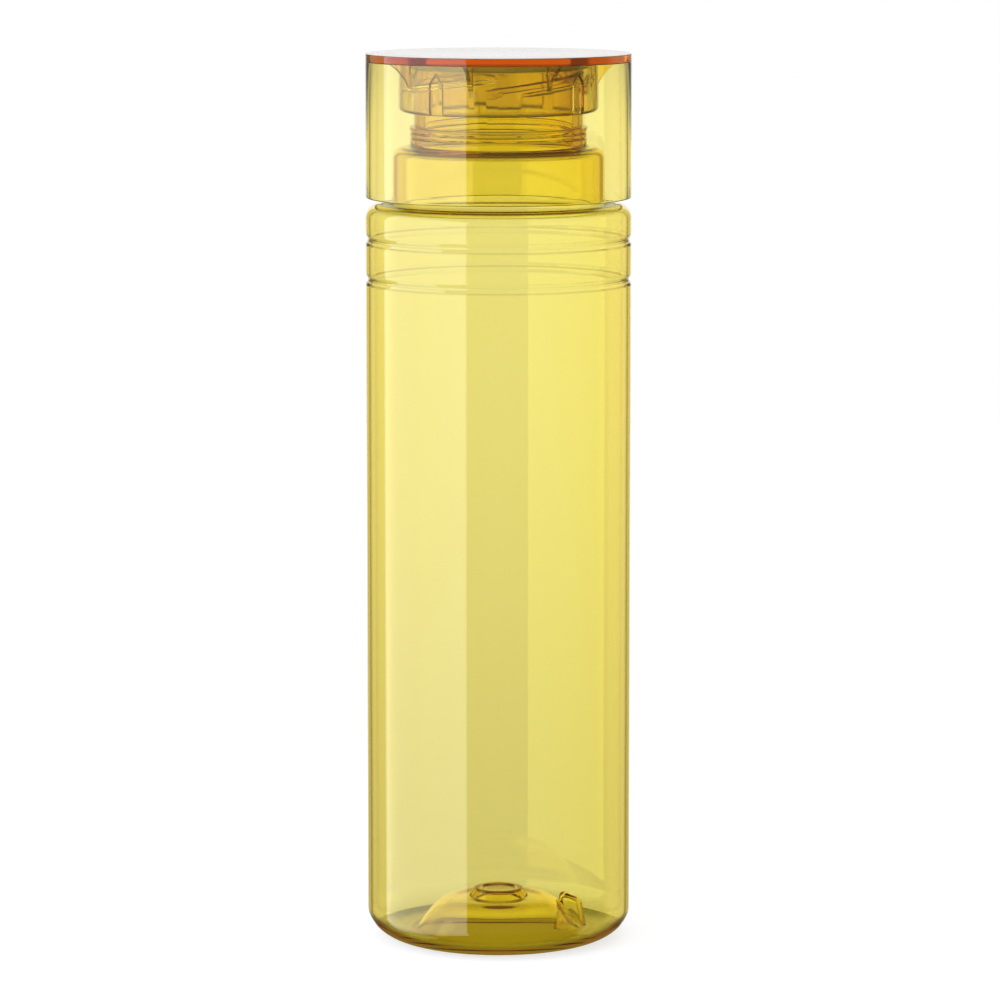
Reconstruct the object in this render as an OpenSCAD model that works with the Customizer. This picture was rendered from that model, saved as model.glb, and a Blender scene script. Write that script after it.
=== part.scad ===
// Clear plastic water bottle with a screw cap, in millimetres, +Z up
// The origin is at the middle of the base, on the table, and the front of the bottle faces -Y

/* [Body] */
// Outside diameter of the body
body_d = 73; // [70:0.5:78]
// Height of the shoulder's top above the table
shoulder_z = 204.5; // [160:0.5:240]
// Wall thickness of the body and shoulder
wall = 1.0; // [0.8:0.1:1.4]
// Distance that the rounded heel runs in under the body
heel_w = 9.5; // [7:0.5:11]
// Height of the rounded heel
heel_h = 8; // [7:0.5:10]
// Radius of the rounded shoulder
shoulder_r = 4; // [3:0.1:4.1]
// Height of each groove round the body
groove_w = 2.8; // [2:0.1:4]
// Depth of each groove
groove_depth = 0.75; // [0.4:0.05:1.2]
// Distance of the upper groove's middle below the shoulder's top
groove_drop = 9.8; // [8:0.1:14]
// Distance from one groove to the next
groove_pitch = 10.9; // [7:0.1:20]

/* [Base] */
// Width of the flat ring that the bottle stands on
foot_w = 2; // [1:0.1:3]
// Thickness of the base
base_wall = 1.5; // [1.2:0.1:2]
// Height of the pushed-up dome over the standing ring
push_up = 9.5; // [7:0.5:10]
// Radius of the middle boss at its foot
boss_r = 8.2; // [7:0.1:9]
// Height of the middle boss over the dome
boss_h = 2.3; // [2:0.1:4]
// Radius of the shallow dish in the boss's top
dish_r = 4.2; // [3:0.1:5]
// Depth of that dish
dish_depth = 0.4; // [0.2:0.1:0.6]
// Distance of the index pocket's middle in from the standing ring's outside
pocket_inset = 6.6; // [6.2:0.1:7.5]
// Direction of the index pocket, from the front towards +X
pocket_angle = 101; // [0:1:359]
// Height of the index pocket's roof inside the bottle
pocket_h = 10.4; // [9:0.1:11]
// Slope of that roof, falling outwards
pocket_slope = 22; // [10:1:28]

/* [Step and neck] */
// Distance that the step under the neck stands back from the body's side
step_inset = 7.4; // [7.2:0.1:8.4]
// Height of the step over the shoulder
step_h = 15.4; // [12:0.1:20]
// Wall thickness of the step
step_wall = 1.4; // [1:0.1:1.6]
// Radius of the step's upper corner
step_corner_r = 3; // [2:0.1:3.5]
// Radius of the hollow where the step meets the shoulder
flare_r = 3.2; // [2:0.1:3.4]
// Distance that the collar under the neck stands back from the step's side
collar_inset = 4.85; // [4.4:0.05:5.3]
// Height of the collar
collar_h = 5.1; // [4:0.1:8]
// Distance that the neck stands back from the collar
neck_inset = 1.05; // [0.8:0.05:1.4]
// Wall thickness of the neck
neck_wall = 2.4; // [2.2:0.1:3.2]
// Height of the neck over the collar
neck_h = 15.9; // [15:0.1:20]

/* [Thread] */
// Number of starts
starts = 4; // [3:1:4]
// Rise in one whole turn
lead = 19.2; // [18:0.2:20.4]
// Depth of the neck's ridges
ridge_depth = 1.4; // [1:0.1:1.6]
// Height of a neck ridge
ridge_h = 1.75; // [1.4:0.05:2]
// Turn that a neck ridge covers, in degrees
ridge_span = 76; // [60:1:78]
// Distance from the rim down to the top of a neck ridge, where the ridge starts
ridge_drop = 4.4; // [4.4:0.1:5]
// Height of a cap ridge
cap_ridge_h = 1.3; // [1:0.05:1.6]
// Turn that a cap ridge covers, in degrees
cap_ridge_span = 75; // [50:1:80]
// Play between the ridges along the axis
thread_play = 0.3; // [0.2:0.05:0.5]
// Play between a ridge and the wall opposite
thread_clear = 0.4; // [0.25:0.05:0.6]

/* [Cap] */
// Thickness of the seal ring
seal_t = 2.4; // [1:0.1:3]
// Thickness of the cap's disc
disc_t = 2.2; // [1.8:0.1:5]
// Distance that the cap's side stands back from the body's
cap_inset = 0.05; // [0:0.05:1]
// Wall thickness of the threaded core
core_wall = 2.45; // [2:0.05:3]
// Gap from the collar up to the core's lower edge
core_gap = 4.05; // [1:0.05:5]
// Number of gussets between core and disc
gusset_count = 8; // [4:1:12]
// Thickness of a gusset
gusset_t = 1.2; // [0.8:0.1:2]
// Distance that a gusset runs down the core
gusset_drop = 8.3; // [5:0.1:9.5]
// Gap between a gusset's tip and the sleeve
gusset_gap = 1.15; // [0.5:0.05:2]
// Number of grip flutes in the core
flute_count = 4; // [2:1:4]
// Width of a flute
flute_w = 4.5; // [3:0.1:6]
// Depth of a flute
flute_depth = 1; // [0.5:0.05:1.3]
// Distance from the disc down to a flute's round top
flute_drop = 4.3; // [3:0.1:5]
// Wall thickness of the clear sleeve
sleeve_wall = 1.25; // [1:0.05:2]
// Gap from the shoulder up to the sleeve's lower edge
sleeve_gap = 1.5; // [0.8:0.1:4]

/* [Hidden] */
$fn = 120;

// Heights worked out from the sizes above
step_z = shoulder_z + step_h;
collar_z = step_z + collar_h;
rim_z = collar_z + neck_h;
disc_z = rim_z + seal_t;
top_z = disc_z + disc_t;
core_z = collar_z + core_gap;
sleeve_z = shoulder_z + sleeve_gap;

// Radii worked out from the sizes above
body_r = body_d / 2;
step_r = body_r - step_inset;
collar_r = step_r - collar_inset;
neck_r = collar_r - neck_inset;
bore_r = neck_r - neck_wall;
disc_r = body_r - cap_inset;
sleeve_in_r = disc_r - sleeve_wall;
core_in_r = neck_r + ridge_depth + thread_clear;
core_r = core_in_r + core_wall;
foot_out_r = body_r - heel_w;
foot_in_r = foot_out_r - foot_w;
pocket_reach = foot_out_r - pocket_inset;

// Fullness of the heel's curve, where 2 is an ellipse, and of the dome's, where more is flatter on top
heel_fullness = 1.8;
dome_fullness = 1.8;

// Small edges and hollows
edge = 0.4;
mouth_edge = 0.5;
collar_hollow = 0.8;
collar_lip = 0.15;
collar_lip_h = 0.5;
collar_ring = 0.25;
collar_ring_pitch = 1.35;
under_mouth_r = 1.6;
core_corner_r = 1.5;
core_hollow = 1;
sleeve_edge = 0.3;
embed = 0.8;
seal_play = 0.1;

// Sides of the middle boss and of the index pocket
boss_taper = 1.6;
boss_side_wall = 1.3;
boss_edge = 0.6;
boss_lean = 20;
pocket_foot_r = 4.9;
pocket_top_r = 2.9;
pocket_wall = 1.2;

// The thread's angles, from the front towards +X
neck_ridge_angle = -4.3;
cap_ridge_angle = 14;
// Top of a cap ridge where it starts: under the neck ridge that it meets, with the play between them
cap_ridge_z = rim_z - ridge_drop + lead * (cap_ridge_angle - neck_ridge_angle) / 360 - ridge_h - thread_play;
ridge_flank = 0.3;
ridge_fade = 10;
ridge_start = 0.12;
ridge_step = 4;
stop_w = 2.6;
stop_h = 2.7;
stop_drop = 0.2;
stop_nub_r = 1.1;
stop_nub_angle = 4.5;
lug_spread = 35.4;
lug_r = 1.9;
lug_h = 7.7;
lug_depth = 0.75;
lug_rise = 0.6;
lug_side = 20;

// The cap's angles, from the front towards +X
gusset_angle = -15.5;
gusset_bow = 0.08;
gusset_bite = 0.3;
flute_angle = 7;
flute_tip = 1.3;

// Points along an arc: middle, half width and half height, then the angles where it starts and ends
function arc(c, rx, rz, from, to, n = 8) =
    [for (i = [0:n]) let (a = from + (to - from) * i / n) [c.x + rx * cos(a), c.y + rz * sin(a)]];

// The same with one radius
function round_arc(c, r, from, to, n = 8) = arc(c, r, r, from, to, n);

// Points along the heel, which is a little flatter than an ellipse, from the standing ring to the side
function heel(rx, rz, n = 14) =
    [for (i = [0:n]) let (a = 90 * i / n, power = 2 / heel_fullness)
        [foot_out_r + rx * pow(sin(a), power), heel_h - rz * pow(cos(a), power)]];

// Points along the dome of the base, which leaves one level and reaches the next without a corner
function dome(from, to, n = 16) =
    [for (i = [0:n]) let (u = i / n, v = (1 - cos(180 * pow(u, dome_fullness))) / 2)
        [from.x + (to.x - from.x) * u, from.y + (to.y - from.y) * v]];

// Points up a wall through one soft groove
function groove(r, z, n = 4) =
    [for (i = [-n:n]) [r - groove_depth * (1 + cos(180 * i / n)) / 2, z + groove_w / 2 * i / n]];

// Side of the bottle from heel to step at a depth under the outer skin, with other depths at foot and step
function skin(depth, foot_depth, step_depth) = concat(
    heel(heel_w - depth, heel_h - foot_depth),
    groove(body_r - depth, shoulder_z - groove_drop - groove_pitch),
    groove(body_r - depth, shoulder_z - groove_drop),
    round_arc([body_r - shoulder_r, shoulder_z - shoulder_r], shoulder_r - depth, 0, 90),
    arc([step_r + flare_r, shoulder_z + flare_r], flare_r + step_depth, flare_r + depth, 270, 180),
    round_arc([step_r - step_corner_r, step_z - step_corner_r], step_corner_r - step_depth, 0, 90));

// Underside of the base, from the axis out to the standing ring
boss_under_r = boss_r - boss_side_wall;
function base_under() = concat(
    [[0, push_up + boss_h], [boss_under_r - boss_taper, push_up + boss_h]],
    dome([boss_under_r, push_up], [foot_in_r, 0]));

// Floor inside the bottle, from the axis out to the valley over the standing ring
floor_z = push_up + base_wall;
boss_z = floor_z + boss_h;
boss_top_r = boss_r - boss_taper;
function floor_line() = concat(
    [[0, boss_z - dish_depth], [dish_r, boss_z - dish_depth], [dish_r + dish_depth, boss_z]],
    round_arc([boss_top_r - boss_edge, boss_z - boss_edge], boss_edge, 90, boss_lean, 4),
    dome([boss_r, floor_z], [foot_in_r, base_wall]));

// Outside of the collar and neck, from the step's top up to the rim
function neck_line() = concat(
    round_arc([collar_r + collar_hollow, step_z + collar_hollow], collar_hollow, 270, 180, 4),
    [for (i = [2, 1], p = [[0, -1], [-collar_ring, 0], [0, 1]])
        [collar_r + p.x, collar_z - i * collar_ring_pitch + p.y * collar_ring]],
    [[collar_r, collar_z - collar_lip_h], [collar_r + collar_lip, collar_z - collar_lip_h],
     [collar_r + collar_lip, collar_z], [neck_r, collar_z]],
    round_arc([neck_r - mouth_edge, rim_z - mouth_edge], mouth_edge, 0, 90, 4));

// One ridge along a helix, as rings of four points with their root bedded in the wall that carries it.
// Its depth fades in and out at the ends that ask for it, and its height is measured at the wall's face.
module ridge(root, crest, height, span, fade_in, fade_out) {
    n = ceil(span / ridge_step);
    side = crest > root ? 1 : -1;
    spread = ridge_flank * embed / abs(crest - root);
    function depth(a) = min(1,
        ridge_start + (fade_in ? a / ridge_fade : 1),
        ridge_start + (fade_out ? (span - a) / ridge_fade : 1));
    function section(a) = let (
        bed = root - side * embed,
        tip = root + (crest - root) * depth(a),
        slope = ridge_flank * depth(a),
        z = lead * a / 360
    ) [[bed, z - height - spread], [tip, z - height + slope], [tip, z - slope], [bed, z + spread]];
    points = [for (i = [0:n]) let (a = span * i / n) for (p = section(a)) [p.x * cos(a), p.x * sin(a), p.y]];
    sides = [for (i = [0:n - 1], j = [0:3])
        [4 * i + j, 4 * i + (j + 1) % 4, 4 * i + 4 + (j + 1) % 4, 4 * i + 4 + j]];
    faces = concat(sides, [[3, 2, 1, 0], [for (j = [0:3]) 4 * n + j]]);
    polyhedron(points, side > 0 ? faces : [for (f = faces) [for (k = [len(f) - 1:-1:0]) f[k]]]);
}

// Puts a child that was drawn at +X at an angle from the front
module from_front(angle) {
    rotate(angle - 90) children();
}

// Pushes an outline, drawn with y upwards, out along +X through a wall between two radii
module on_wall(from_r, to_r) {
    intersection() {
        rotate([90, 0, 90]) linear_extrude(to_r + 1) children();
        difference() {
            cylinder(r = to_r, h = top_z);
            translate([0, 0, -1]) cylinder(r = from_r, h = top_z + 2);
        }
    }
}

// The neck's ridges with the block and nub that stop the cap when it closes
module neck_thread() {
    start_z = rim_z - ridge_drop;
    for (i = [0:starts - 1]) from_front(neck_ridge_angle + 360 / starts * i) {
        translate([0, 0, start_z])
            ridge(neck_r, neck_r + ridge_depth, ridge_h, ridge_span, false, true);
        on_wall(neck_r - embed, neck_r + ridge_depth)
            translate([-stop_w / 2, start_z - stop_h]) square([stop_w, stop_h - stop_drop]);
        rotate(stop_nub_angle) on_wall(neck_r - embed, neck_r + ridge_depth)
            translate([0, start_z - stop_h + stop_nub_r + edge]) circle(stop_nub_r, $fn = 24);
    }
}

// Two drop-shaped lugs on the back of the neck
module neck_lugs() {
    for (side = [-0.5, 0.5]) from_front(180 + side * lug_spread) on_wall(neck_r - embed, neck_r + lug_depth)
        translate([0, collar_z + lug_r - lug_rise]) union() {
            circle(lug_r, $fn = 32);
            polygon([
                lug_r * [-cos(lug_side), sin(lug_side)],
                lug_r * [cos(lug_side), sin(lug_side)],
                [0, lug_h - lug_r]]);
        }
}

// A cone cut off by the pocket's sloping roof, this far inside the outer one and starting at this height
module pocket(depth, from_z) {
    to_z = pocket_h + pocket_foot_r / 2;
    function cone_r(z) = pocket_foot_r - depth - (pocket_foot_r - pocket_top_r) * z / pocket_h;
    from_front(pocket_angle) translate([pocket_reach, 0, 0]) difference() {
        translate([0, 0, from_z]) cylinder(r1 = cone_r(from_z), r2 = cone_r(to_z), h = to_z - from_z);
        translate([0, 0, pocket_h - depth]) rotate([0, pocket_slope, 0])
            translate([-pocket_foot_r * 2, -pocket_foot_r * 2, 0]) cube([1, 1, 1] * pocket_foot_r * 4);
    }
}

// The bottle: an outer form less its inside, with the pocket standing up from its floor
module bottle() color([0.88, 0.84, 0.42]) {
    difference() {
        rotate_extrude() polygon(concat(base_under(), skin(0, 0, 0), neck_line(), [[0, rim_z]]));
        difference() {
            rotate_extrude() polygon(concat(
                floor_line(),
                skin(wall, base_wall, step_wall),
                round_arc([bore_r + under_mouth_r, step_z - step_wall + under_mouth_r], under_mouth_r, 270, 180),
                [[bore_r, rim_z - mouth_edge], [bore_r + mouth_edge, rim_z]],
                [[bore_r + mouth_edge, top_z], [0, top_z]]));
            pocket(0, base_wall / 2);
        }
        pocket(pocket_wall, -1);
    }
    neck_thread();
    neck_lugs();
}

// A gusset drawn in the plane of the axis, with a hollow outer edge
module gusset() {
    tip_r = sleeve_in_r - gusset_gap;
    foot = [core_r - gusset_bite, disc_z - gusset_drop];
    tip = [tip_r, disc_z];
    n = 6;
    translate([0, gusset_t / 2, 0]) rotate([90, 0, 0]) linear_extrude(gusset_t) polygon(concat(
        [[core_r - embed, foot.y], [core_r - embed, disc_z + embed], [tip_r, disc_z + embed]],
        [for (i = [0:n]) let (u = i / n, b = 4 * gusset_bow * u * (1 - u))
            tip + (foot - tip) * u + [-b * (tip.y - foot.y), b * (tip.x - foot.x)]]));
}

// Outline of a flute: straight sides, a round top and a small point over it
module flute_outline() {
    top = disc_z - flute_drop - flute_w / 2;
    translate([-flute_w / 2, core_z - 1]) square([flute_w, top - core_z + 1]);
    translate([0, top]) circle(flute_w / 2, $fn = 32);
    translate([0, top]) polygon([[-flute_tip, 0], [flute_tip, 0], [0, flute_w / 2 + flute_tip]]);
}

// The cap's disc and threaded core, with gussets and flutes
module cap_core() color([0.80, 0.60, 0.20]) {
    difference() {
        union() {
            rotate_extrude() polygon(concat(
                [[0, top_z], [disc_r - edge, top_z], [disc_r, top_z - edge], [disc_r, disc_z]],
                round_arc([core_r + core_hollow, disc_z - core_hollow], core_hollow, 90, 180, 4),
                round_arc([core_r - core_corner_r, core_z + core_corner_r], core_corner_r, 0, -90, 6),
                [[core_in_r + edge, core_z], [core_in_r, core_z + edge], [core_in_r, disc_z], [0, disc_z]]));
            for (i = [0:gusset_count - 1]) from_front(gusset_angle + 360 / gusset_count * i) gusset();
        }
        for (i = [0:flute_count - 1]) from_front(flute_angle + 360 / flute_count * i)
            on_wall(core_r - flute_depth, core_r + 1) flute_outline();
    }
    for (i = [0:starts - 1]) from_front(cap_ridge_angle + 360 / starts * i)
        translate([0, 0, cap_ridge_z])
            ridge(core_in_r, neck_r + thread_clear, cap_ridge_h, cap_ridge_span, true, true);
}

// The sleeve, its upper edge against the disc's underside
module cap_sleeve() color([0.90, 0.86, 0.48]) {
    rotate_extrude() polygon(concat(
        round_arc([disc_r - sleeve_edge, sleeve_z + sleeve_edge], sleeve_edge, -90, 0, 3),
        [[disc_r, disc_z], [sleeve_in_r, disc_z]],
        round_arc([sleeve_in_r + sleeve_edge, sleeve_z + sleeve_edge], sleeve_edge, 180, 270, 3)));
}

// The seal ring, between the rim and the disc
module seal_ring() color([0.93, 0.91, 0.82]) {
    rotate_extrude() polygon([
        [bore_r - edge, rim_z], [core_in_r - seal_play, rim_z],
        [core_in_r - seal_play, disc_z], [bore_r - edge, disc_z]]);
}

bottle();
cap_core();
cap_sleeve();
seal_ring();
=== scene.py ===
"""Looks of a clear plastic water bottle with its screw cap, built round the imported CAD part.

The four pieces are drawn again in finer meshes at the places of their CAD nodes. Outlines are in millimetres as
(radius, height) from the frame's own sizes, angles run from the front towards +X, and meshes end in metres.
"""

import math

import bmesh
import bpy
from mathutils import Matrix, Vector


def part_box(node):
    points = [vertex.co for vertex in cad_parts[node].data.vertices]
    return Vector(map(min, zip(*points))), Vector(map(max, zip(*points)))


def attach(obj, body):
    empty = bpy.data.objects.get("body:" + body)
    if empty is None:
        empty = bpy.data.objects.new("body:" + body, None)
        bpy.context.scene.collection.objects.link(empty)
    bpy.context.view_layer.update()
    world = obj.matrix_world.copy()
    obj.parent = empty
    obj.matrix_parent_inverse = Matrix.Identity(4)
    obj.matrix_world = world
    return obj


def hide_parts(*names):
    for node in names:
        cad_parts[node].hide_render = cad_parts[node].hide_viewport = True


MM = 0.001
TURN = 2 * math.pi
STEPS = 240
ARC_STEP = math.radians(9)
CORNER_ANGLE = math.radians(32)
SOFTBOX_COLOUR = 0.86, 0.92, 1.2

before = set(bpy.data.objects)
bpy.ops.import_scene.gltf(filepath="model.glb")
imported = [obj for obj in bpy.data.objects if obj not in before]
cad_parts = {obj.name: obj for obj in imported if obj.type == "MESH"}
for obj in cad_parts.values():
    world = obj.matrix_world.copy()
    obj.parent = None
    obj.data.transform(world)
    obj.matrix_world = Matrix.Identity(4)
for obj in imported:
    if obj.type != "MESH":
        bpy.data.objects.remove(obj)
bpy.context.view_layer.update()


def sizes(node):
    """Outside radius, lowest and highest level of a CAD node, in millimetres."""
    low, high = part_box(node)
    return high.x / MM, low.z / MM, high.z / MM


# Sizes that come from the frame
body_r, _, rim_z = sizes("bottle")
disc_r, core_z, top_z = sizes("cap_core")
_, sleeve_z, disc_z = sizes("cap_sleeve")

# Body and base
wall = 1.0
base_wall = 1.5
heel_w = 9.5
heel_h = 8
heel_fullness = 1.8
dome_fullness = 1.8
foot_out_r = body_r - heel_w
foot_in_r = foot_out_r - 2
push_up = 9.5
floor_z = push_up + base_wall
boss_r = 8.2
boss_z = floor_z + 2.3
boss_side_wall = 1.3
boss_taper = 1.6
dish_r = 4.2
dish_depth = 0.4
pocket_reach = foot_out_r - 6.6
pocket_angle = 101
pocket_h = 10.4
pocket_foot_r = 4.9
pocket_top_r = 2.9
pocket_slope = 22
pocket_wall = 1.2

# Shoulder, step and neck
shoulder_z = sleeve_z - 1.5
groove_levels = shoulder_z - 9.8, shoulder_z - 20.7
groove_w = 2.8
groove_depth = 0.75
step_r = body_r - 7.4
step_wall = 1.4
step_z = shoulder_z + 15.4
collar_r = step_r - 4.85
collar_z = step_z + 5.1
neck_r = collar_r - 1.05
bore_r = neck_r - 2.4
collar_lip = 0.15
collar_lip_h = 0.5
collar_ring_depth = 0.25
collar_ring_half_h = 0.35
collar_ring_pitch = 1.35
lug_r = 1.9
lug_point = 5.8
lug_depth = 0.75
lug_spread = 35.4

# Thread
starts = 4
lead = 19.2
ridge_depth = 1.4
ridge_h = 1.75
ridge_span = 76
ridge_z = rim_z - 4.4
neck_ridge_angle = -4.3
cap_ridge_angle = 14
cap_ridge_h = 1.3
cap_ridge_span = 75
thread_play = 0.3
thread_clear = 0.4
ridge_slope = 0.3
fade_angle = 10
fade_start = 0.12
stop_w = 2.6
stop_h = 2.5
stop_drop = 0.2
nub_r = 1.1
nub_rise = 1.5
nub_angle = 4.5
bed = 0.8

# Cap
core_in_r = neck_r + ridge_depth + thread_clear
core_r = core_in_r + 2.45
gusset_t = 1.2
gusset_drop = 8.3
gusset_gap = 1.15
gusset_hollow = 0.32
gusset_angle = -15.5
flute_half_w = 2.25
flute_drop = 4.3
flute_point = 3.55
flute_depth = 1
flute_angle = 52
sleeve_in_r = disc_r - 1.25
seal_in_r = bore_r - 0.4
seal_out_r = core_in_r - 0.1
hair = 0.04


def arc(centre, wide, high, start, end):
    """Points along an arc about a centre, with its half width and half height, between two angles in degrees."""
    turn = math.radians(end - start)
    n = math.ceil(abs(turn) / ARC_STEP)
    angles = [math.radians(start) + turn * i / n for i in range(n + 1)]
    return [(centre[0] + wide * math.cos(a), centre[1] + high * math.sin(a)) for a in angles]


def rounded(*corners):
    """Points along an outline of (radius, height, rounding) corners. A corner without rounding stays sharp."""
    points = []
    for i, (r, z, rounding) in enumerate(corners):
        here = Vector((r, z))
        if not rounding:
            points.append((r, z))
            continue
        before = (Vector(corners[i - 1][:2]) - here).normalized()
        after = (Vector(corners[i + 1][:2]) - here).normalized()
        turn = math.pi - before.angle(after)
        centre = here + (before + after).normalized() * rounding / math.cos(turn / 2)
        start = here + before * rounding * math.tan(turn / 2) - centre
        side = 1 if before.cross(after) < 0 else -1
        n = max(2, math.ceil(turn / ARC_STEP))
        for k in range(n + 1):
            a = side * turn * k / n
            points.append((centre.x + start.x * math.cos(a) - start.y * math.sin(a),
                           centre.y + start.x * math.sin(a) + start.y * math.cos(a)))
    return points


def dome(top, foot, n=28):
    """Points down the base's dome, which is flatter on top and reaches its foot without a corner."""
    (r0, z0), (r1, z1) = top, foot
    shares = [i / n for i in range(n + 1)]
    return [(r0 + (r1 - r0) * u, z0 + (z1 - z0) * (1 - math.cos(math.pi * u ** dome_fullness)) / 2) for u in shares]


def heel(wide, high, n=20):
    """Points up the heel, a curve a little flatter than an ellipse, from the standing ring to the side."""
    power = 2 / heel_fullness
    angles = [math.pi / 2 * i / n for i in range(n + 1)]
    return [(foot_out_r + wide * math.sin(a) ** power, heel_h - high * abs(math.cos(a)) ** power) for a in angles]


def groove(r, z):
    """Corners down a wall through one soft groove."""
    return [(r, z + groove_w / 2, 1.2), (r - groove_depth, z, 0.9), (r, z - groove_w / 2, 1.2)]


def spun(outline, steps=STEPS):
    """A closed form from its outline, spun round the bottle's axis."""
    bm = bmesh.new()
    verts = [bm.verts.new((r, 0, z)) for r, z in outline]
    pairs = list(zip(verts, verts[1:]))
    if outline[0][0] > 0:
        pairs.append((verts[-1], verts[0]))
    edges = [bm.edges.new(pair) for pair in pairs]
    bmesh.ops.spin(bm, geom=verts + edges, cent=(0, 0, 0), axis=(0, 0, 1), dvec=(0, 0, 0), angle=TURN,
                   steps=steps, use_merge=True, use_duplicate=False)
    bmesh.ops.remove_doubles(bm, verts=bm.verts, dist=1e-4)
    bmesh.ops.recalc_face_normals(bm, faces=bm.faces)
    return bm


def around(bm, angles):
    """Repeats a form that is drawn at +X, once at each of these angles from the front."""
    form = bm.verts[:] + bm.edges[:] + bm.faces[:]
    copies = [form] + [bmesh.ops.duplicate(bm, geom=form)["geom"] for _ in angles[1:]]
    for copy, angle in zip(copies, angles):
        verts = [v for v in copy if isinstance(v, bmesh.types.BMVert)]
        bmesh.ops.rotate(bm, verts=verts, cent=(0, 0, 0), matrix=Matrix.Rotation(math.radians(angle - 90), 3, "Z"))
    return bm


def every(count, first):
    """Angles of equal shares of a turn, from the first one."""
    return [first + 360 / count * i for i in range(count)]


def ridge(root, crest, height, span, top, fade_in, fade_out):
    """One thread ridge along a helix from +X, bedded in its wall, with its depth fading at the ends that ask."""
    side = 1 if crest > root else -1
    bm = bmesh.new()
    outline = rounded((root - side * bed, -height - 0.2, 0), (crest, -height + ridge_slope, 0.25),
                      (crest, -ridge_slope, 0.25), (root - side * bed, 0.2, 0))
    verts = [bm.verts.new((r, 0, top + z)) for r, z in outline]
    edges = [bm.edges.new((a, b)) for a, b in zip(verts, verts[1:] + verts[:1])]
    steps = math.ceil(span / 2)
    bmesh.ops.spin(bm, geom=verts + edges, cent=(0, 0, 0), axis=(0, 0, 1), dvec=(0, 0, lead * span / 360 / steps),
                   angle=math.radians(span), steps=steps, use_merge=False, use_duplicate=False)
    bmesh.ops.holes_fill(bm, edges=[e for e in bm.edges if e.is_boundary], sides=0)
    for v in bm.verts:
        reach = v.co.xy.length
        proud = (reach - root) * side
        if proud > 0:
            turn = (math.degrees(math.atan2(v.co.y, v.co.x)) + 20) % 360 - 20
            share = min(1, fade_start + (turn / fade_angle if fade_in else 1),
                        fade_start + ((span - turn) / fade_angle if fade_out else 1))
            v.co.xy *= (root + side * proud * share) / reach
    bmesh.ops.recalc_face_normals(bm, faces=bm.faces)
    return bm


def block(low, high, bevel):
    """A box between two corners with its edges rounded."""
    bm = bmesh.new()
    bmesh.ops.create_cube(bm, size=1)
    low, high = Vector(low), Vector(high)
    bmesh.ops.scale(bm, verts=bm.verts, vec=high - low)
    bmesh.ops.translate(bm, verts=bm.verts, vec=(low + high) / 2)
    soften(bm, bm.edges[:], bevel)
    return bm


def soften(bm, edges, size, segments=3):
    """Rounds these edges."""
    bmesh.ops.bevel(bm, geom=edges, offset=size, offset_type="OFFSET", affect="EDGES", segments=segments,
                    profile=0.5, material=-1, clamp_overlap=True)


def plate(outline, start, end, bevel=0):
    """An outline of (across, height) points pushed out along +X between two radii, its far edge rounded."""
    bm = bmesh.new()
    face = bm.faces.new([bm.verts.new((start, y, z)) for y, z in outline])
    far = bmesh.ops.extrude_face_region(bm, geom=[face])["geom"]
    far_verts = [g for g in far if isinstance(g, bmesh.types.BMVert)]
    bmesh.ops.translate(bm, verts=far_verts, vec=(end - start, 0, 0))
    if bevel:
        soften(bm, [g for g in far if isinstance(g, bmesh.types.BMEdge)], bevel)
    bmesh.ops.recalc_face_normals(bm, faces=bm.faces)
    return bm


def mesh_object(name, bm):
    """A finished bmesh as an object."""
    mesh = bpy.data.meshes.new(name)
    bm.to_mesh(mesh)
    bm.free()
    piece = bpy.data.objects.new(name, mesh)
    bpy.context.scene.collection.objects.link(piece)
    return piece


def joined(name, base, *steps):
    """The form left when each (operation, form) step has been added to the base or cut from it in turn."""
    piece = mesh_object(name, base)
    tools = []
    for i, (operation, form) in enumerate(steps):
        tool = mesh_object(f"{name}_tool_{i}", form)
        tools.append(tool)
        modifier = piece.modifiers.new(f"step_{i}", "BOOLEAN")
        modifier.operation = operation
        modifier.solver = "MANIFOLD"
        modifier.object = tool
    bpy.context.view_layer.update()
    mesh = bpy.data.meshes.new_from_object(piece.evaluated_get(bpy.context.evaluated_depsgraph_get()))
    piece.modifiers.clear()
    piece.data = mesh
    for tool in tools:
        bpy.data.objects.remove(tool)
    return piece


def dressed(piece, material, body, node):
    """Brings a piece to metres, shades it smooth up to its corners, and gives it its place in the frame."""
    piece.data.transform(Matrix.Scale(MM, 4))
    piece.data.shade_smooth()
    piece.data.set_sharp_from_angle(angle=CORNER_ANGLE)
    piece.data.materials.clear()
    piece.data.materials.append(material)
    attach(piece, body)
    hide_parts(node)


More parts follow.
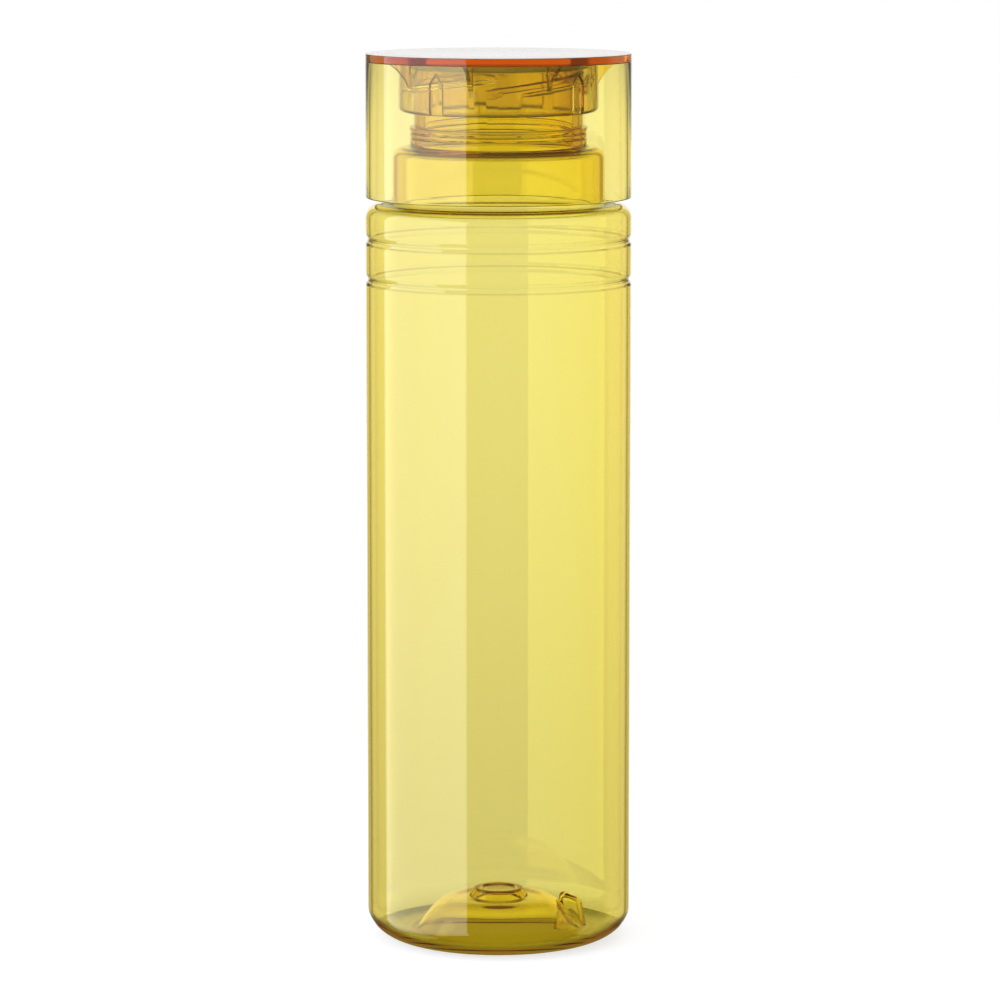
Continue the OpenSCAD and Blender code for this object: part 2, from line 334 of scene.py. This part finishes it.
def bottle_outline():
    """Outside of the bottle from the axis under the base up to the rim, then down its inside to the floor."""
    under_boss_r = boss_r - boss_side_wall
    under = rounded((0, boss_z - base_wall, 0), (under_boss_r - boss_taper, boss_z - base_wall, 0.5),
                    (under_boss_r, push_up, 0.7), (boss_r, push_up, 0))[:-1]
    under += [p for p in dome((under_boss_r, push_up), (foot_in_r, 0)) if p[0] > boss_r - 0.5]
    ring_levels = [collar_z - 2 * collar_ring_pitch, collar_z - collar_ring_pitch]
    outside = rounded(
        (body_r, heel_h + 1, 0),
        *reversed(groove(body_r, groove_levels[1])), *reversed(groove(body_r, groove_levels[0])),
        (body_r, shoulder_z, 4), (step_r, shoulder_z, 3.2), (step_r, step_z, 3), (collar_r, step_z, 0.8),
        *[(collar_r + r, level + z, 0.1) for level in ring_levels
          for r, z in ((0, -collar_ring_half_h), (-collar_ring_depth, 0), (0, collar_ring_half_h))],
        (collar_r, collar_z - collar_lip_h, 0), (collar_r + collar_lip, collar_z - collar_lip_h + 0.05, 0.05),
        (collar_r + collar_lip, collar_z, 0.1),
        (neck_r, collar_z, 0.3), (neck_r, rim_z, 0.5), (bore_r, rim_z, 0.5), (bore_r, step_z - step_wall, 1.6),
        (step_r - step_wall, step_z - step_wall, 1.6), (step_r - step_wall, shoulder_z - wall, 4.2),
        (body_r - wall, shoulder_z - wall, 3), *groove(body_r - wall, groove_levels[0]),
        *groove(body_r - wall, groove_levels[1]), (body_r - wall, heel_h + 1, 0))
    floor = list(reversed(dome((boss_r, floor_z), (foot_in_r, base_wall)))) + rounded(
        (boss_r, floor_z, 0), (boss_r - boss_taper, boss_z, 0.6), (dish_r + 0.4, boss_z, 0.3),
        (dish_r, boss_z - dish_depth, 0.3), (0, boss_z - dish_depth, 0))[1:]
    return under + heel(heel_w, heel_h) + outside + heel(heel_w - wall, heel_h - base_wall)[::-1] + floor


def pocket(depth, low):
    """A cone cut off by the pocket's sloping roof, this far inside the outer one and starting at this level."""
    def cone_r(z):
        return pocket_foot_r - depth - (pocket_foot_r - pocket_top_r) * z / pocket_h

    high = pocket_h + 3
    bm = spun([(0, low), (cone_r(low), low), (cone_r(high), high), (0, high)], 64)
    slope = math.radians(pocket_slope)
    cut = bmesh.ops.bisect_plane(bm, geom=bm.verts[:] + bm.edges[:] + bm.faces[:], dist=1e-5,
                                 plane_co=(0, 0, pocket_h - depth), plane_no=(math.sin(slope), 0, math.cos(slope)),
                                 clear_outer=True)["geom_cut"]
    rim = [g for g in cut if isinstance(g, bmesh.types.BMEdge)]
    bmesh.ops.holes_fill(bm, edges=rim, sides=0)
    soften(bm, rim, 1.5 - depth / 2, 5)
    bmesh.ops.translate(bm, verts=bm.verts, vec=(pocket_reach, 0, 0))
    bmesh.ops.recalc_face_normals(bm, faces=bm.faces)
    return around(bm, [pocket_angle])


def neck_lugs():
    """Two drop-shaped lugs on the back of the neck."""
    middle = collar_z + 1.3
    side = math.radians(20)
    angles = [math.pi - side + (math.pi + 2 * side) * i / 20 for i in range(21)]
    drop = [(lug_r * math.cos(a), middle + lug_r * math.sin(a)) for a in angles] + [(0, middle + lug_point)]
    return around(plate(drop, neck_r - bed, neck_r + lug_depth, 0.25), [180 - lug_spread / 2, 180 + lug_spread / 2])


def stops():
    """The blocks at the starts of the neck's ridges."""
    top = ridge_z - stop_drop
    low = neck_r - bed, -stop_w / 2, top - stop_h
    high = neck_r + ridge_depth - 0.05, stop_w / 2, top
    return around(block(low, high, 0.2), every(starts, neck_ridge_angle))


def nubs():
    """The round nubs beside the stop blocks."""
    centre = ridge_z - stop_drop - stop_h + nub_rise
    angles = [TURN * i / 24 for i in range(24)]
    circle = [(nub_r * math.cos(a), centre + nub_r * math.sin(a)) for a in angles]
    return around(plate(circle, neck_r - bed, neck_r + ridge_depth - 0.1, 0.25),
                  every(starts, neck_ridge_angle + nub_angle))


def gusset():
    """A gusset in the plane of the axis, with a hollow outer edge."""
    tip = Vector((sleeve_in_r - gusset_gap, disc_z))
    foot = Vector((core_r - 0.3, disc_z - gusset_drop))
    along = foot - tip
    across = Vector((-along.y, along.x))
    edge = [tip + along * u - across * gusset_hollow * u * (1 - u) for u in (i / 8 for i in range(9))]
    outline = [(core_r - bed, foot.y), (core_r - bed, disc_z + bed), (tip.x, disc_z + bed)] + [tuple(p) for p in edge]
    bm = bmesh.new()
    face = bm.faces.new([bm.verts.new((x, -gusset_t / 2, z)) for x, z in outline])
    far = bmesh.ops.extrude_face_region(bm, geom=[face])["geom"]
    bmesh.ops.translate(bm, verts=[g for g in far if isinstance(g, bmesh.types.BMVert)], vec=(0, gusset_t, 0))
    bmesh.ops.recalc_face_normals(bm, faces=bm.faces)
    return bm


def flute():
    """A flute's cutter: straight sides, a round top and a small point over it."""
    half = flute_half_w
    top = disc_z - flute_drop - half
    outline = ([(-half, core_z - 1), (half, core_z - 1)] + arc((0, top), half, half, 0, 55)
               + [(0, top + flute_point)] + arc((0, top), half, half, 125, 180))
    return plate(outline, core_r - flute_depth, core_r + 1)


def socket_values(shader, **values):
    """Sets a shader's sockets by name, with spaces for underscores."""
    for name, value in values.items():
        shader.inputs[name.replace("_", " ")].default_value = value


def wired(tree, kind, inputs=(), **settings):
    """A node with its settings, and its inputs set to values or linked from other nodes' outputs."""
    node = tree.nodes.new(kind)
    for name, value in settings.items():
        setattr(node, name, value)
    for name, value in dict(inputs).items():
        if isinstance(value, bpy.types.NodeSocket):
            tree.links.new(value, node.inputs[name])
        else:
            node.inputs[name].default_value = value
    return node


def maths(tree, operation, *values):
    """The output of a maths node on numbers or other nodes' outputs."""
    return wired(tree, "ShaderNodeMath", dict(enumerate(values)), operation=operation).outputs[0]


def graded(tree, value, low, high, to_low=0.0, to_high=1.0):
    """A number that runs smoothly from one value to another as the input crosses a range."""
    return wired(tree, "ShaderNodeMapRange", {
        "Value": value, "From Min": low, "From Max": high, "To Min": to_low, "To Max": to_high,
    }, interpolation_type="SMOOTHSTEP").outputs["Result"]


def choose(tree, switch, off, on):
    """One of two numbers, by a switch of 0 or 1."""
    return wired(tree, "ShaderNodeMix", {0: switch, 2: off, 3: on}, data_type="FLOAT").outputs[0]


def blended(tree, share, none, full):
    """The colour that lies between two colours at this share, each a triple or another node's output."""
    none, full = (c if isinstance(c, bpy.types.NodeSocket) else (*c, 1) for c in (none, full))
    return wired(tree, "ShaderNodeMix", {"Factor": share, 6: none, 7: full}, data_type="RGBA").outputs[2]


def distance_from(tree, place, flat=False):
    """The distance of a place from the origin, or only across the floor."""
    if flat:
        place = wired(tree, "ShaderNodeVectorMath", {0: place, 1: (1, 1, 0)}, operation="MULTIPLY").outputs["Vector"]
    return wired(tree, "ShaderNodeVectorMath", {0: place}, operation="LENGTH").outputs["Value"]


def clear_plastic(name, density, absorbed, roughness, base=(1, 1, 1), transmission=1.0):
    """A see-through plastic, coloured by what its thickness absorbs."""
    material = bpy.data.materials.new(name)
    material.use_nodes = True
    nodes, links = material.node_tree.nodes, material.node_tree.links
    shader = nodes["Principled BSDF"]
    socket_values(shader, Base_Color=(*base, 1), Roughness=roughness, IOR=1.57, Transmission_Weight=transmission)
    absorption = nodes.new("ShaderNodeVolumeAbsorption")
    socket_values(absorption, Color=(*absorbed, 1), Density=density)
    links.new(absorption.outputs["Volume"], nodes["Material Output"].inputs["Volume"])
    return material


def haze_and_grain(material):
    """Gives the cap's core a light haze, its rim a deeper orange, and the disc's top a pale fine grain."""
    tree = material.node_tree
    shader = tree.nodes["Principled BSDF"]
    place = wired(tree, "ShaderNodeTexCoord").outputs["Object"]
    reach = distance_from(tree, place, flat=True)
    level = wired(tree, "ShaderNodeSeparateXYZ", {0: place}).outputs["Z"]
    top = graded(tree, level, (top_z - 0.2) * MM, (top_z - 0.05) * MM)
    inner = graded(tree, reach, (core_r + 1) * MM, (core_r + 0.3) * MM)
    grain = wired(tree, "ShaderNodeTexNoise", {"Vector": place, "Scale": 2400.0, "Detail": 2.0}).outputs[0]
    bump = wired(tree, "ShaderNodeBump", {
        "Height": grain, "Strength": maths(tree, "MULTIPLY", top, 0.2), "Distance": 0.0001})
    amber = blended(tree, inner, (1.0, 0.78, 0.22), (1.0, 0.96, 0.8))
    tree.links.new(blended(tree, top, amber, (1, 1, 1)), shader.inputs["Base Color"])
    clear = maths(tree, "SUBTRACT", graded(tree, inner, 0, 1, 1.0, 0.96), maths(tree, "MULTIPLY", top, 0.55))
    tree.links.new(clear, shader.inputs["Transmission Weight"])
    rough = maths(tree, "MAXIMUM", graded(tree, inner, 0, 1, 0.03, 0.06), maths(tree, "MULTIPLY", top, 0.15))
    tree.links.new(rough, shader.inputs["Roughness"])
    tree.links.new(bump.outputs["Normal"], shader.inputs["Normal"])


bottle_clear = clear_plastic("bottle_clear", 900, (0.972, 0.906, 0.167), 0.0)
cap_amber = clear_plastic("cap_amber", 500, (0.989, 0.94, 0.66), 0.03)
haze_and_grain(cap_amber)
sleeve_clear = clear_plastic("sleeve_clear", 450, (0.99, 0.91, 0.05), 0.0)
seal_soft = clear_plastic("seal_soft", 200, (0.95, 0.93, 0.8), 0.3, base=(1.0, 0.95, 0.75), transmission=0.75)

bottle = joined(
    "bottle_shell", spun(bottle_outline()),
    ("UNION", pocket(0, base_wall / 2)),
    ("DIFFERENCE", pocket(pocket_wall, -1)),
    ("UNION", around(ridge(neck_r, neck_r + ridge_depth, ridge_h, ridge_span, ridge_z, False, True),
                     every(starts, neck_ridge_angle))),
    ("UNION", stops()),
    ("UNION", nubs()),
    ("UNION", neck_lugs()))
dressed(bottle, bottle_clear, "bottle", "bottle")

core_outline = rounded(
    (0, top_z, 0), (disc_r, top_z, 0.3), (disc_r, disc_z, 0.15), (core_r, disc_z, 1), (core_r, core_z, 1.5),
    (core_in_r, core_z, 0.4), (core_in_r, disc_z, 0.5), (0, disc_z, 0))
cap_ridge_z = ridge_z + lead * (cap_ridge_angle - neck_ridge_angle) / 360 - ridge_h - thread_play
core = joined(
    "cap_disc_and_core", spun(core_outline),
    ("UNION", around(gusset(), every(8, gusset_angle))),
    ("DIFFERENCE", around(flute(), every(4, flute_angle))),
    ("UNION", around(ridge(core_in_r, neck_r + thread_clear, cap_ridge_h, cap_ridge_span, cap_ridge_z, True, True),
                     every(starts, cap_ridge_angle))))
dressed(core, cap_amber, "cap", "cap_core")

sleeve = mesh_object("cap_outer_sleeve", spun(rounded(
    (disc_r, sleeve_z + 5, 0), (disc_r, disc_z - hair, 0.1), (sleeve_in_r, disc_z - hair, 0.1),
    (sleeve_in_r, sleeve_z, 0.45), (disc_r, sleeve_z, 0.45), (disc_r, sleeve_z + 5, 0))[:-1]))
dressed(sleeve, sleeve_clear, "cap", "cap_sleeve")

seal = mesh_object("cap_seal", spun(rounded(
    (seal_in_r, rim_z + 0.8, 0), (seal_in_r, rim_z + hair, 0.2), (seal_out_r, rim_z + hair, 0.2),
    (seal_out_r, disc_z - hair, 0.2), (seal_in_r, disc_z - hair, 0.2), (seal_in_r, rim_z + 0.8, 0))[:-1]))
dressed(seal, seal_soft, "seal", "seal_ring")

# Floor: pale, with the bottle's shadow. Reflected and refracted rays meet it only under the bottle, where it shows a
# painted amber light and shade instead of real lighting.
floor_mesh = bmesh.new()
bmesh.ops.create_circle(floor_mesh, cap_ends=True, segments=96, radius=1.2)
floor = mesh_object("floor", floor_mesh)
floor_with_painted_amber_glow = bpy.data.materials.new("floor_with_painted_amber_glow")
floor_with_painted_amber_glow.use_nodes = True
tree = floor_with_painted_amber_glow.node_tree
tree.nodes.clear()
path = wired(tree, "ShaderNodeLightPath")
place = wired(tree, "ShaderNodeTexCoord").outputs["Object"]
reach = distance_from(tree, place)
bent = maths(tree, "MAXIMUM", path.outputs["Is Glossy Ray"], path.outputs["Is Transmission Ray"])
# Painted light and shadow: under the bottle, reflected and refracted rays see the floor glow in a painted amber,
# brighter in the middle and darker towards the bottle's edge. It stands in for the yellowed light and the shade that
# reach the floor through the plastic, and the floor's diffuse colour goes to black for these rays.
painted_amber_light_and_shade = blended(tree, graded(tree, reach, 0.02, 0.032), (0.42, 0.33, 0.03), (0.25, 0.23, 0.06))
shade = blended(tree, bent, (0.72, 0.72, 0.72), painted_amber_light_and_shade)
dye = blended(tree, bent, (0.4, 0.4, 0.4), (0, 0, 0))
glow = wired(tree, "ShaderNodeEmission", {"Color": shade, "Strength": 1.0})
paint = wired(tree, "ShaderNodeBsdfDiffuse", {"Color": dye})
pale = wired(tree, "ShaderNodeAddShader", {0: glow.outputs[0], 1: paint.outputs[0]})
gone = maths(tree, "MULTIPLY", bent, maths(tree, "GREATER_THAN", reach, body_r * MM))
nothing = wired(tree, "ShaderNodeBsdfTransparent")
mix = wired(tree, "ShaderNodeMixShader", {0: gone, 1: pale.outputs[0], 2: nothing.outputs[0]})
wired(tree, "ShaderNodeOutputMaterial", {"Surface": mix.outputs[0]})
floor.data.materials.append(floor_with_painted_amber_glow)

# Studio: a white backdrop between two warmer walls, with dim gaps that draw the plastic's edges.
# The camera sees plain white.
scene = bpy.context.scene
scene.view_settings.view_transform = "Standard"
world = bpy.data.worlds.new("studio")
world.use_nodes = True
scene.world = world
tree = world.node_tree
path = wired(tree, "ShaderNodeLightPath")
heading = wired(tree, "ShaderNodeTexCoord").outputs["Generated"]
level = wired(tree, "ShaderNodeVectorMath", {0: heading, 1: (1, 1, 0)}, operation="MULTIPLY").outputs["Vector"]
level = wired(tree, "ShaderNodeVectorMath", {0: level}, operation="NORMALIZE").outputs["Vector"]
ahead = wired(tree, "ShaderNodeSeparateXYZ", {0: level}).outputs["Y"]
rise = wired(tree, "ShaderNodeSeparateXYZ", {0: heading}).outputs["Z"]
mirrored = maths(tree, "LESS_THAN", path.outputs["Transmission Depth"], 0.5)
backdrop = choose(tree, mirrored, graded(tree, ahead, 0.903, 0.917), graded(tree, ahead, 0.94, 0.97))
walls = maths(tree, "MULTIPLY", graded(tree, ahead, 0.857, 0.82), graded(tree, ahead, 0.2, 0.5))
walls = graded(tree, walls, 0, 1, 0.3, 0.8)
ceiling = graded(tree, rise, 0.3, 0.6, 1.0, 0.12)
near_ground = graded(tree, rise, -0.24, -0.08, 0.76, 1.0)
low_ground = graded(tree, rise, -0.45, -0.26, 0.3, 1.0)
height = maths(tree, "MULTIPLY", maths(tree, "MULTIPLY", near_ground, low_ground), ceiling)
clear_light = maths(tree, "MULTIPLY", height, maths(tree, "MAXIMUM", backdrop, walls))
overhead = graded(tree, rise, 0, 0.6, 0.7, 1.0)
camera_ray, diffuse_ray = path.outputs["Is Camera Ray"], path.outputs["Is Diffuse Ray"]
strength = choose(tree, camera_ray, choose(tree, diffuse_ray, clear_light, overhead), 1.0)
plain = maths(tree, "MAXIMUM", camera_ray, diffuse_ray)
tint = blended(tree, maths(tree, "MAXIMUM", backdrop, plain), (1.0, 0.86, 0.5), (1, 1, 1))
room = tree.nodes["Background"]
tree.links.new(tint, room.inputs["Color"])
tree.links.new(strength, room.inputs["Strength"])


def softbox(name, azimuth, distance, width, height, level, radiance):
    """A soft light that faces the bottle from an angle to the left of the front, at a plain radiance."""
    lamp = bpy.data.lights.new(name, "AREA")
    lamp.shape = "RECTANGLE"
    lamp.size, lamp.size_y = width, height
    lamp.energy = radiance * math.pi * width * height
    lamp.color = SOFTBOX_COLOUR
    stand = bpy.data.objects.new(name, lamp)
    angle = math.radians(azimuth)
    stand.location = (-distance * math.sin(angle), -distance * math.cos(angle), level)
    stand.rotation_euler = (math.pi / 2, 0, -angle)
    stand.visible_camera = False
    scene.collection.objects.link(stand)
    return stand


softbox("softbox_left", 71.5, 0.8, 1.55, 1.6, 0.1, 1.65)

# Camera
view = bpy.data.cameras.new("camera")
view.lens = 171.6
view.sensor_width = 36
camera = bpy.data.objects.new("camera", view)
camera.location = (0.0004, -1.3065, 0.2997)
camera.rotation_euler = (math.radians(90 - 7.735), 0, 0)
scene.collection.objects.link(camera)
scene.camera = camera

scene.cycles.max_bounces = 32
scene.cycles.transmission_bounces = 32
scene.cycles.glossy_bounces = 16
